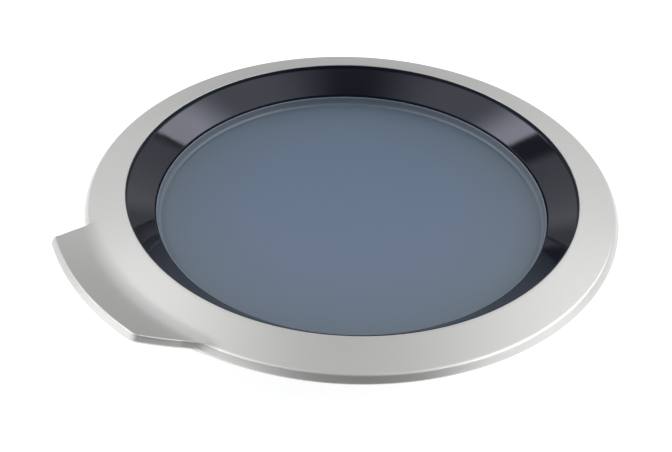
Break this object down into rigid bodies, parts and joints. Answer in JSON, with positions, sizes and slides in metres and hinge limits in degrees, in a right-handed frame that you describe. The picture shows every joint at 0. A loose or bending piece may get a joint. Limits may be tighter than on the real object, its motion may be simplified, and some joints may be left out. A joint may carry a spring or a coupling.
{
  "type": "washing machine porthole door",
  "caption": "Round porthole door for a front-loading washer: silver ring with a moulded pull grip, black bezel, tinted pane, glass bowl, hinge and sprung latch hook.",
  "frame": {"origin": "on the ring's axis, at the flat bottom of the glass bowl, which the door lies on", "axes": "+Z is the front of the door, the grip and the latch are at -X, the hinge is at +X, and +Y is up once it is installed"},
  "size_m": [0.5022, 0.4724, 0.1317],
  "materials": {
    "silver_paint": "satin silver paint on a moulded ring",
    "dark_soft_plastic": "fine matt texture",
    "zinc_screw": "bright zinc",
    "gloss_black": "high gloss",
    "rubber_seal": "matt",
    "tinted_pane": "polished, slate blue tint",
    "grey_plastic": "moulded, fine grain",
    "bowl_glass": "polished, slight green tint",
    "zinc_sheet": "zinc plated sheet",
    "pin_steel": "ground steel",
    "spring_steel": "dark spring steel",
    "nylon": "natural nylon",
    "cast_zinc": "tumbled die casting"
  },
  "bodies": {
    "door": {"outer_ring": "silver_paint", "grip_backing": "dark_soft_plastic", "grip_screws": "zinc_screw", "bezel_ring": "gloss_black", "pane_gasket": "rubber_seal", "window_pane": "tinted_pane", "rear_frame": "grey_plastic", "frame_screws": "zinc_screw", "glass_bowl": "bowl_glass", "bowl_gasket": "rubber_seal", "bowl_clamp_ring": "zinc_sheet", "clamp_screws": "zinc_screw", "hinge_leaf": "zinc_sheet", "hinge_leaf_screws": "zinc_screw", "hinge_pin": "pin_steel", "pin_clips": "spring_steel", "latch_housing": "zinc_sheet", "latch_screws": "zinc_screw", "latch_pin": "pin_steel", "latch_spring": "spring_steel", "door_buffers": "rubber_seal"},
    "bracket": {"hinge_bracket": "zinc_sheet", "hinge_bushes": "nylon"},
    "hook": {"latch_hook": "cast_zinc"}
  },
  "joints": [
    {"name": "door_swing", "type": "hinge", "parent": "door", "child": "bracket", "pos_m": [0.216, 0, 0.1], "axis": [0, -1, 0], "range_deg": [0, 120]},
    {"name": "latch_tilt", "type": "hinge", "parent": "door", "child": "hook", "pos_m": [-0.198, 0, 0.097], "axis": [0, -1, 0], "range_deg": [0, 14], "stiffness_Nm_per_rad": 0.3, "springref_deg": -20.05, "deforming": ["latch_spring"]}
  ]
}
